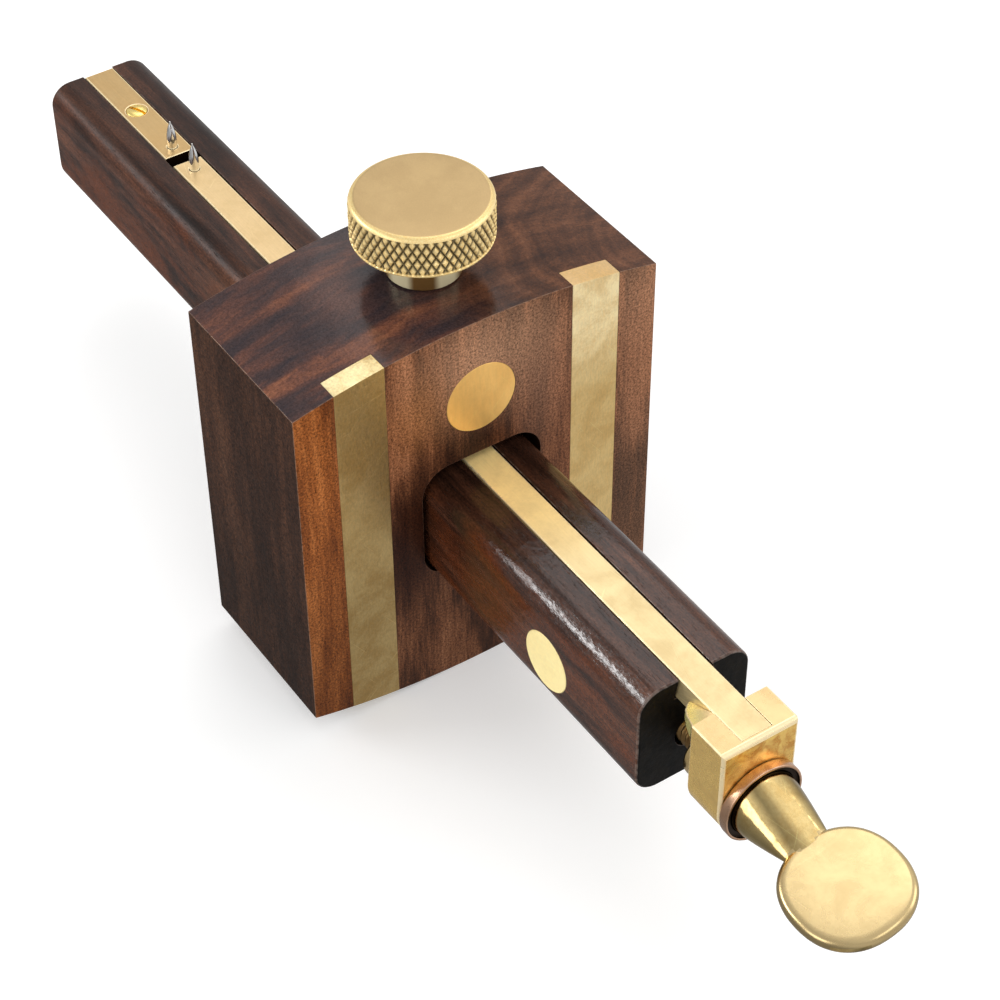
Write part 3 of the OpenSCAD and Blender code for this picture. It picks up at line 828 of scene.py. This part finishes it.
def lock_screw_profile():
    """Rows of radius, height and share of the knurl's depth, from the tip up to the top."""
    r, tip, top = HEAD_R, LOCK_LO.z, LOCK_HI.z
    low, high = HEAD_Z + 0.62, top - 0.86
    shank = [(0, tip), (1.6, tip), (TIP_R, tip + 0.2), (TIP_R, tip + 1.3),
             (SHANK_R - 0.3, tip + 1.3), (SHANK_R - 0.3, LOCK_COLLAR_Z + 0.05)]
    collar = [(5.45, LOCK_COLLAR_Z), (5.72, LOCK_COLLAR_Z + 0.08),
              (LOCK_COLLAR_R, LOCK_COLLAR_Z + 0.3), (LOCK_COLLAR_R, HEAD_Z - 0.5),
              (5.88, HEAD_Z - 0.2), (6.2, HEAD_Z)]
    rim = [(r - 0.9, HEAD_Z), (r - 0.35, HEAD_Z + 0.05), (r - 0.12, HEAD_Z + 0.22),
           (r - 0.06, HEAD_Z + 0.45)]
    crown = [(r - 0.10, high + 0.1), (r - 0.14, top - 0.62), (r - 0.24, top - 0.42),
             (r - 0.42, top - 0.24), (r - 0.66, top - 0.11), (r - 0.92, top - 0.03),
             (r - 1.15, top), (r * 0.5, top), (0, top)]
    knurl = [(r, low + (high - low) * k / KNURL_STEPS, 1.0) for k in range(KNURL_STEPS + 1)]
    return ([(a, z, 0) for a, z in shank + collar + rim] + knurl + [(a, z, 0) for a, z in crown])


def wave(v):
    """Triangle wave between 0 and 1."""
    return 1 - np.abs(2 * (v % 1.0) - 1)


def folded(lo, hi, f, g):
    """Triangles between two rings, split along grooves and ridges by the radii f and g."""
    faces = []
    for i in range(len(lo)):
        j = (i + 1) % len(lo)
        if abs(f[i] - g[j]) < abs(f[j] - g[i]):
            faces += [[lo[i], lo[j], hi[j]], [lo[i], hi[j], hi[i]]]
        else:
            faces += [[lo[i], lo[j], hi[i]], [lo[j], hi[j], hi[i]]]
    return faces


def knurled_screw():
    """Head, collar and shank as one turned surface; the head is cut with diamonds."""
    rows = lock_screw_profile()
    cols = KNURLS * STEPS_AROUND
    a = 2 * np.pi * np.arange(cols) / cols
    verts, ids, relief = [], [], []
    for rad, z, cutting in rows:
        turn, climb = KNURLS * a / (2 * np.pi), z / KNURL_PITCH
        height = np.minimum(np.minimum(wave(turn + climb), wave(turn - climb)) * 1.3, 1.0)
        rr = rad - cutting * KNURL_DEEP * (1 - height)
        ring = np.c_[LOCK_X + rr * np.cos(a), rr * np.sin(a), np.full(cols, z)].tolist()
        ring = ring if rad else ring[:1]
        ids.append(range(len(verts), len(verts) + len(ring)))
        relief.append(rr)
        verts += ring
    faces = []
    for k in range(len(rows) - 1):
        if rows[k][2] and rows[k + 1][2]:
            faces += folded(ids[k], ids[k + 1], relief[k], relief[k + 1])
        else:
            faces += between(ids[k], ids[k + 1])
    return make("knurled_screw", verts, faces, 24)


def on_lock_collar(c, n):
    near = math.hypot(c.x - LOCK_X, c.y) < LOCK_COLLAR_R + 0.5
    return near and LOCK_COLLAR_Z - 0.2 < c.z < HEAD_Z


def add_lock_screw():
    screw = knurled_screw()
    # the collar takes the painted highlights and shade
    paint(screw, 1, on_lock_collar)
    done(screw, "lock_screw", "brass_screw", [KNOB_BRASS, STEM_PAINTED_LIGHT], "lock_screw")
    thread = helix("lock_thread", SHANK_R, 0.5, 1.25, 46.2, LOCK_COLLAR_Z - 0.1, "Z", (LOCK_X, 0, 0), 40)
    done(thread, "lock_screw", "brass_screw", [POLISHED_BRASS])


add_lock_screw()


# ---- beam
GROOVE_TOP, GROOVE_FOOT, GROOVE_GAP = 2.6, 3.2, 0.26  # half widths, and clearance on each side
GROOVE_LEAN = 0.6 / 3.1
FOOT_Z = PLATE_LO.z - 0.1
BORE_R, BORE_START = 2.9, 4.0
CROSS_NUT_X = (CROSS_NUT_LO.x + CROSS_NUT_HI.x) / 2
CROSS_NUT_R = (CROSS_NUT_HI.x - CROSS_NUT_LO.x) / 2
SCREW_AXIS = (0, 0, SCREW_Z)
PIN_HOLE_R = 0.91
WAY_R = 2.45  # holes of the nut and the block for the adjusting screw


def beam_outline():
    """Rounded section, counter-clockwise, with the dovetailed groove let into its top."""
    outline = rounded(BEAM_HI.y - BEAM_LO.y, BEAM_LO.z, BEAM_TOP, 3.8, 12)
    half = len(outline) // 2
    top, foot = GROOVE_TOP + GROOVE_GAP, GROOVE_FOOT + GROOVE_GAP
    groove = [(top, BEAM_TOP), (foot, FOOT_Z), (-foot, FOOT_Z), (-top, BEAM_TOP)]
    return outline[:half] + groove + outline[half:]


def beam_edges(m):
    if abs(m.x - BEAM_HI.x) < 0.1 or abs(m.x - BEAM_LO.x) < 0.1:
        if math.hypot(m.y, m.z - SCREW_Z) < BORE_R + 0.3:
            return 0.5
        return 0.28 if abs(m.y) < 3.6 and m.z > FOOT_Z - 0.3 else 1.0
    if abs(abs(m.y) - 2.8) < 0.1 and abs(m.z - BEAM_TOP) < 0.1:
        return 0.3
    return 0.08 if m.y < -9 else 0.0


def on_beam_end(c, n):
    return abs(n.x) > 0.95 and min(abs(c.x - BEAM_HI.x), abs(c.x - BEAM_LO.x)) < 0.05


def in_groove_or_bore(c, n):
    groove = abs(c.y) < 3.5 and FOOT_Z - 0.3 < c.z < BEAM_TOP - 0.12 and abs(n.x) < 0.5
    bore = math.hypot(c.y, c.z - SCREW_Z) < BORE_R + 0.05 and 5 < c.x < BEAM_HI.x - 0.5
    return groove or bore


def add_beam():
    beam = prism("beam_wood", beam_outline(), BEAM_LO.x, BEAM_HI.x)
    cut(beam, rod(BORE_R, BORE_START, BEAM_HI.x + PAST, "X", SCREW_AXIS, 64),
        rod(CROSS_NUT_R + 0.02, BEAM_LO.y - PAST, CROSS_NUT_HI.y + 0.2, "Y", (CROSS_NUT_X, 0, SCREW_Z)))
    bevel(beam, 0.45, beam_edges, 3, 1)
    paint(beam, 2, on_beam_end)
    # painted shade inside the groove and the bore
    paint(beam, 3, in_groove_or_bore)
    done(beam, "beam", "beam_wood", [BEAM_WOOD, BEAM_EDGE, BEAM_END, SLOT_WOOD_SHADED], "beam")


def dovetail(name, x0, x1, gap=0.0, over=0.0):
    """Bar of the groove's section, grown by a gap and carried on over the beam's top."""
    top, foot = GROOVE_TOP + gap - over * GROOVE_LEAN, GROOVE_FOOT + gap
    return prism(name, [(-foot, PLATE_LO.z - gap), (foot, PLATE_LO.z - gap),
                        (top, BEAM_TOP + over), (-top, BEAM_TOP + over)], x0, x1)


def add_plate():
    plate = dovetail("pin_plate", PLATE_LO.x + 0.05, PLATE_HI.x, 0.12)
    low, high = PLATE_LO.z - PAST, BEAM_TOP + PAST
    sink = [(0, low), (1.3, low), (1.3, BEAM_TOP - 0.9), (1.87, BEAM_TOP - 0.33), (1.87, high),
            (0, high)]
    cut(plate, rod(PIN_HOLE_R, low, high, "Z", (FIXED_X, 0, 0), 48),
        lathe("sink", sink, "Z", (PLATE_SCREW_X, 0, 0), 64))
    # the bevelled edges get the painted highlight
    bevel(plate, 0.2, lambda m: 1.0 if m.z > BEAM_TOP - 0.1 else 0.4, 2, 1, False)
    # painted shade on the plate's end, in the gap before the slide
    paint(plate, 2, lambda c, n: n.x > 0.9 and c.x > PLATE_HI.x - 0.1)
    done(plate, "beam", "brass_slide", [PLATE_BRASS, EDGE_HIGHLIGHT_BRASS, SHADE_BRASS], "fixed_plate")


def add_plate_screw():
    """Countersunk screw with a slot and a slightly raised, buffed head."""
    top = BEAM_TOP
    profile = [(0, top - 9), (0.4, top - 9), (1.1, top - 7.6), (1.15, top - 0.95),
               (1.8, top - 0.32), (1.8, top - 0.02), (1.3, top + 0.18), (0, top + 0.28)]
    screw = lathe("plate_screw_turned", fillet(profile, [0, 0, 0, 0, 0, 0.15, 0.4, 0], 3), "Z",
                  (PLATE_SCREW_X, 0, 0), 64)
    slot = prism("slot", [(-3, -0.3), (3, -0.3), (3, 0.3), (-3, 0.3)], top - 0.6, top + 1, "Z")
    slot.data.transform(Matrix.Translation((PLATE_SCREW_X * MM, 0, 0))
                        @ Matrix.Rotation(math.radians(25), 4, "Z"))
    cut(screw, slot)
    bevel(screw, 0.05, lambda m: 1.0 if m.z > top - 0.1 else 0.0, 2)
    done(screw, "beam", "brass_fitting", [HEAD_BRASS], "plate_screw")


def spur(name, x, bottom, top):
    """Marking pin: a plain shank and a bullet-shaped ground point."""
    r, shoulder = (FIXED_PIN_HI.x - FIXED_PIN_LO.x) / 2 - 0.01, top - 3.6
    point = [(r * (1 - (k / 12) ** 1.75) ** 0.9, shoulder + (top - 0.12 - shoulder) * k / 12)
             for k in range(12)]
    return lathe(name, [(0, bottom), (r - 0.05, bottom), (r, bottom + 0.06)] + point
                 + [(0.10, top - 0.06), (0, top)], "Z", (x, 0, 0), 40, sharp=50)


def add_pins():
    for kind, body, x, low, high in (("fixed", "beam", FIXED_X, FIXED_PIN_LO, FIXED_PIN_HI),
                                     ("moving", "slide", MOVING_X, MOVING_PIN_LO, MOVING_PIN_HI)):
        pin = spur(kind + "_spur", x, low.z, high.z)
        done(pin, body, "steel_pin", [STEEL], kind + "_pin")


def add_adjusting_nut():
    """Cross nut of the adjusting screw, filed flush with the side of the beam."""
    near, far, r = CROSS_NUT_LO.y, CROSS_NUT_HI.y, CROSS_NUT_R
    nut = lathe("beam_nut", [(0, near - 0.03), (r - 0.1, near - 0.03), (r, near + 0.08),
                             (r, far - 0.3), (r - 0.3, far), (0, far)], "Y",
                (CROSS_NUT_X, 0, SCREW_Z), 96)
    cut(nut, rod(WAY_R, CROSS_NUT_LO.x - PAST, CROSS_NUT_HI.x + PAST, "X", SCREW_AXIS, 48))
    done(nut, "beam", "brass_fitting", [BUTTON_BRASS], "adjusting_nut")


add_beam()
add_plate()
add_plate_screw()
add_pins()
add_adjusting_nut()


# ---- slide and block
WALL = 1.1  # brass of the block in front of the slide
BLOCK_BACK = WASHER_LO.x - 0.1 - 7.1  # rear face of the block proper
GUSSET_BACK = BLOCK_LO.x
GUSSET_FALL = 1.7  # how far the gusset's top edge drops towards the rear


def add_slide():
    slide = dovetail("slide_brass", SLIDE_LO.x, SLIDE_HI.x - WALL)
    cut(slide, rod(PIN_HOLE_R, SLIDE_LO.z - PAST, BEAM_TOP + PAST, "Z", (MOVING_X, 0, 0), 48))
    # the bevelled edges get the painted highlight
    bevel(slide, 0.2, lambda m: 1.0 if m.z > BEAM_TOP - 0.1 and m.x < SLIDE_HI.x - 2 else 0.3,
          2, 1, False)
    done(slide, "slide", "brass_slide", [SLIDE_BRASS, EDGE_HIGHLIGHT_BRASS], "slide_bar")


def gusset():
    """Curved web on the left, from the block back to the slide's flank, falling to the rear."""
    end, front = GUSSET_BACK, BLOCK_BACK + 0.4
    curve = [(end, 3.05), (end + 0.25, 3.6), (end + 1.1, 4.6), (end + 2.6, 5.45), (front, BLOCK_HI.y)]
    web = prism("gusset", [(end, -1)] + [(x, -y) for x, y in curve] + [(front, -1)],
                PLATE_LO.z, BEAM_TOP, "Z")
    waste = prism("waste", [(-10, 0), (1, 0), (1, 5), (-10, 5)], -9, 9, "Z")
    waste.data.transform(Matrix.Translation(Vector((BLOCK_BACK, 0, BEAM_TOP)) * MM)
                         @ Matrix.Rotation(-math.atan(GUSSET_FALL / (BLOCK_BACK - end)), 4, "Y")
                         @ Matrix.Rotation(math.radians(90), 4, "X"))
    return cut(web, waste)


def block_edges(m):
    top = m.z > BEAM_TOP - 0.1
    if top and abs(m.y) < 2.8 and m.x < BLOCK_HI.x - 0.5:
        return 0.1
    if math.hypot(m.y, m.z - SCREW_Z) < 2.7:
        return 0.3
    if abs(m.y) < 3.4 and PLATE_LO.z - 0.3 < m.z < BEAM_TOP - 0.1:
        return 0.08
    if m.x < BLOCK_BACK + 0.3:
        return 0.2
    if m.x > BLOCK_HI.x - 0.1:
        return 1.0 if top else 0.6
    return 0.3 if top else 0.4


def add_block():
    half = BLOCK_HI.y
    outline = arc(0, SCREW_Z, half, 180, 360, 40) + [(half, BEAM_TOP), (-half, BEAM_TOP)]
    block = prism("block_body", outline, BLOCK_BACK, BLOCK_HI.x)
    combine(block, "UNION", [gusset()])
    cut(block, dovetail("way", BLOCK_BACK - 6, BLOCK_HI.x - WALL + 0.02, 0.05, 1.0),
        rod(WAY_R, GUSSET_BACK - PAST, BLOCK_HI.x + PAST, "X", SCREW_AXIS, 64))
    # the bevelled edges get the painted highlight
    bevel(block, 0.8, block_edges, 3, 1, False)
    done(block, "slide", "brass_screw", [BLOCK_BRASS, EDGE_HIGHLIGHT_BRASS], "slide_block")


add_slide()
add_block()


# ---- thumb screw
CORE_R, THREAD_R, RING_R = 2.38, 2.4, 2.42  # shank, its thread, and the rings around it
NECK_START, NECK_END = WASHER_HI.x - 1.0, 78.6
NECK_R = 5.35
PADDLE_LONG, PADDLE_WIDE, PADDLE_THICK = 9.2, 8.9, 2.7  # two half sizes and the thickness
PADDLE_RIM, PADDLE_CROWN, PADDLE_POWER = 0.95, 0.16, 2.25
PADDLE_X = THUMB_HI.x - 9.05
PADDLE_ROLL = Matrix.Rotation(math.radians(11), 4, "X")


def in_cup(c, n):
    inside = math.hypot(c.y, c.z - SCREW_Z) < 6.3
    return inside and c.x < WASHER_HI.x - 0.12 and n.x > -0.5


def add_washer():
    """Thin cupped ring between the block and the neck."""
    back, front, r = WASHER_LO.x, WASHER_HI.x, WASHER_HI.y
    profile = [(RING_R, back), (r, back), (r, front), (r - 0.38, front), (r - 0.44, front - 0.4),
               (r - 1.1, front - 0.4), (r - 1.1, front - 1.1), (RING_R, front - 1.1)]
    cup = lathe("cup_washer", fillet(profile, [0, 0.3, 0.16, 0.1, 0.1, 0, 0, 0], 4), "X",
                SCREW_AXIS, 128, True)
    # painted shade on the floor of the cup's recess
    paint(cup, 1, in_cup)
    done(cup, "thumb_screw", "brass_screw", [RIM_BRASS, SHADE_BRASS], "thrust_washer")


def add_collar_and_thread():
    back, front, r = COLLAR_LO.x, COLLAR_HI.x, COLLAR_HI.y
    profile = fillet([(RING_R, back), (r, back), (r, front), (RING_R, front)], [0, 0.4, 0.3, 0], 4)
    ring = lathe("collar_ring", profile, "X", SCREW_AXIS, 96, True)
    done(ring, "thumb_screw", "brass_screw", [POLISHED_BRASS], "retaining_collar")
    thread = helix("adjusting_thread", THREAD_R, 0.42, 1.0, THUMB_LO.x, back + 0.6, "X", SCREW_AXIS, 36)
    # the thread is painted in shade
    done(thread, "thumb_screw", "brass_screw", [THREAD_SHADE_BRASS])


def neck_at(x):
    """Half width and half height of the neck, which flattens into the paddle."""
    u = max(0.0, (x - WASHER_HI.x) / (NECK_END - WASHER_HI.x))
    return NECK_R - 1.9 * u ** 1.3, NECK_R - 4.2 * u ** 1.2


def paddle_rows():
    """Share of the flat, share of the rim and height of each ring, from the lower face up."""
    half = PADDLE_THICK / 2
    shares = (0.25, 0.5, 0.7, 0.84, 0.93)
    turns = [math.radians(-90 + 180 * k / 8) for k in range(9)]
    return ([(f, 0.0, -half + PADDLE_CROWN * f ** 3) for f in shares]
            + [(1.0, math.cos(w), (half - PADDLE_CROWN) * math.sin(w)) for w in turns]
            + [(f, 0.0, half - PADDLE_CROWN * f ** 3) for f in shares[::-1]])


def paddle():
    """Flattened disc, very slightly squared, with crowned faces and a rounded rim."""
    n = 128
    rows = paddle_rows()
    verts = [(0, 0, -PADDLE_THICK / 2)]
    for flat, rim, z in rows:
        for i in range(n):
            c, s = math.cos(2 * math.pi * i / n), math.sin(2 * math.pi * i / n)
            r = (abs(c / PADDLE_LONG) ** PADDLE_POWER
                 + abs(s / PADDLE_WIDE) ** PADDLE_POWER) ** (-1 / PADDLE_POWER)
            reach = flat * (r - PADDLE_RIM) + rim * PADDLE_RIM
            verts.append((reach * c, reach * s, z))
    verts.append((0, 0, PADDLE_THICK / 2))
    rings = [range(1 + k * n, 1 + k * n + n) for k in range(len(rows))]
    faces = between([0], rings[0])
    for lo, hi in zip(rings, rings[1:] + [[len(verts) - 1]]):
        faces += between(lo, hi)
    ob = make("paddle", verts, faces, 40)
    ob.data.transform(Matrix.Translation(Vector((PADDLE_X, 0, SCREW_Z)) * MM) @ PADDLE_ROLL)
    return ob


def on_paddle(c, n):
    """Whether a face lies on the paddle, away from its joint with the neck."""
    level = (Matrix.Translation((PADDLE_X, 0, SCREW_Z)) @ PADDLE_ROLL).inverted()
    c = level @ c
    return math.hypot(c.x, c.y) < 9.3 and abs(c.z) < (1.25 if c.x < -7.6 else 1.4)


def add_adjusting_screw():
    """Shank and neck, turned and then flattened, in one piece with the paddle."""
    start, steps = NECK_START + 0.35, 20
    xs = [start + (NECK_END - start) * i / steps for i in range(steps + 1)]
    shank = [(0, COLLAR_HI.x - 2), (CORE_R, COLLAR_HI.x - 2), (CORE_R, NECK_START),
             (4.9, NECK_START), (5.25, NECK_START + 0.08)]
    neck = lathe("screw_neck", shank + [(neck_at(x)[0], x) for x in xs] + [(0, NECK_END)], "X",
                 (0, 0, 0), 128, sharp=35)
    for v in neck.data.vertices:
        wide, high = neck_at(v.co.x / MM)
        v.co.z *= high / wide
    neck.data.transform(Matrix.Translation((0, 0, SCREW_Z * MM)) @ PADDLE_ROLL)
    combine(neck, "UNION", [paddle()])
    paint(neck, 1, on_paddle)
    done(neck, "thumb_screw", "brass_screw", [NECK_BRASS, PADDLE_BRASS], "adjusting_screw")


add_washer()
add_collar_and_thread()
add_adjusting_screw()

# CAD solids that stay, with their own finish
for name, finish in (("lock_pad", DISC_BRASS), ("collar_pin", STEEL)):
    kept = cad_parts[name]
    kept.data.materials.clear()
    kept.data.materials.append(finish)


# ---- floor, light, camera
def add_floor(half=6.0):
    """Pale paper, large enough to fill the picture (metres)."""
    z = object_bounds()[0][2] - 0.00002
    me = bpy.data.meshes.new("floor")
    me.from_pydata([(-half, -half, z), (half, -half, z), (half, half, z), (-half, half, z)], [],
                   [[0, 1, 2, 3]])
    floor = add("floor", me)
    s = Shade("floor_paper", Emission_Color=(1, 1, 1, 1), Emission_Strength=0.25)
    tone = s.mix((0.82, 0.82, 0.815), (0.85, 0.85, 0.845), s.noise(0.01, 2))
    me.materials.append(s.finish(tone, 0.9))
    floor.visible_glossy = False


def studio_world():
    """Soft grey surround that brightens towards one side and overhead."""
    world = bpy.data.worlds.new("studio")
    bpy.context.scene.world = world
    world.use_nodes = True
    w = Nodes(world.node_tree)
    facing = w.node("VectorMath", {0: w.node("TexCoord", {}, "Generated"), 1: (0.25, 0.55, 0.80)},
                    "Value", operation="DOT_PRODUCT")
    share = w.node("MapRange", {"Value": facing, "From Min": -1.0})
    greys = [(0.0, 0.30), (0.25, 0.36), (0.40, 0.62), (0.50, 0.78), (0.68, 0.66), (0.80, 0.80),
             (1.0, 1.1)]
    background = w.node("Background", {"Color": w.ramp(share, greys), "Strength": 0.95})
    w.node("OutputWorld", {0: background})


def softbox(name, direction, distance, size, radiance):
    """Rectangular lamp at a distance (m) from the stock, facing it."""
    data = bpy.data.lights.new(name, "AREA")
    data.shape = "RECTANGLE"
    data.size, data.size_y = size
    data.energy = radiance * math.pi * size[0] * size[1]
    ob = add(name, data)
    d = Vector(direction).normalized()
    ob.location = Vector((0, 0, 0.03)) + d * distance
    ob.rotation_euler = d.to_track_quat("Z", "Y").to_euler()


def add_camera(lens, place, turn):
    """Camera at the angle and distance of the photograph."""
    cam = bpy.data.cameras.new("camera")
    cam.sensor_width = 36
    cam.lens = lens
    cam.clip_start, cam.clip_end = 0.01, 50
    eye = add("camera", cam)
    eye.rotation_mode = "QUATERNION"
    eye.rotation_quaternion = Quaternion(turn)
    eye.location = place
    bpy.context.scene.camera = eye
    bpy.context.scene.view_settings.view_transform = "Standard"


add_floor()
studio_world()
softbox("key", (-0.42, 0.35, 0.84), 0.9, (0.55, 0.6), 1.45)
softbox("side", (0.45, 0.85, 0.40), 1.0, (0.5, 0.6), 1.7)
softbox("rim", (-0.62, -0.70, 0.42), 0.9, (0.5, 0.26), 7.0)
softbox("fill", (0.05, -0.93, 0.30), 1.0, (0.5, 0.5), 2.2)
softbox("front", (0.80, 0.15, 0.62), 1.0, (0.4, 0.4), 1.6)
add_camera(93.57008, (0.237833, -0.15611, 0.303959), (0.8122713, 0.3471521, 0.1869867, 0.4298102))

bpy.context.view_layer.update()
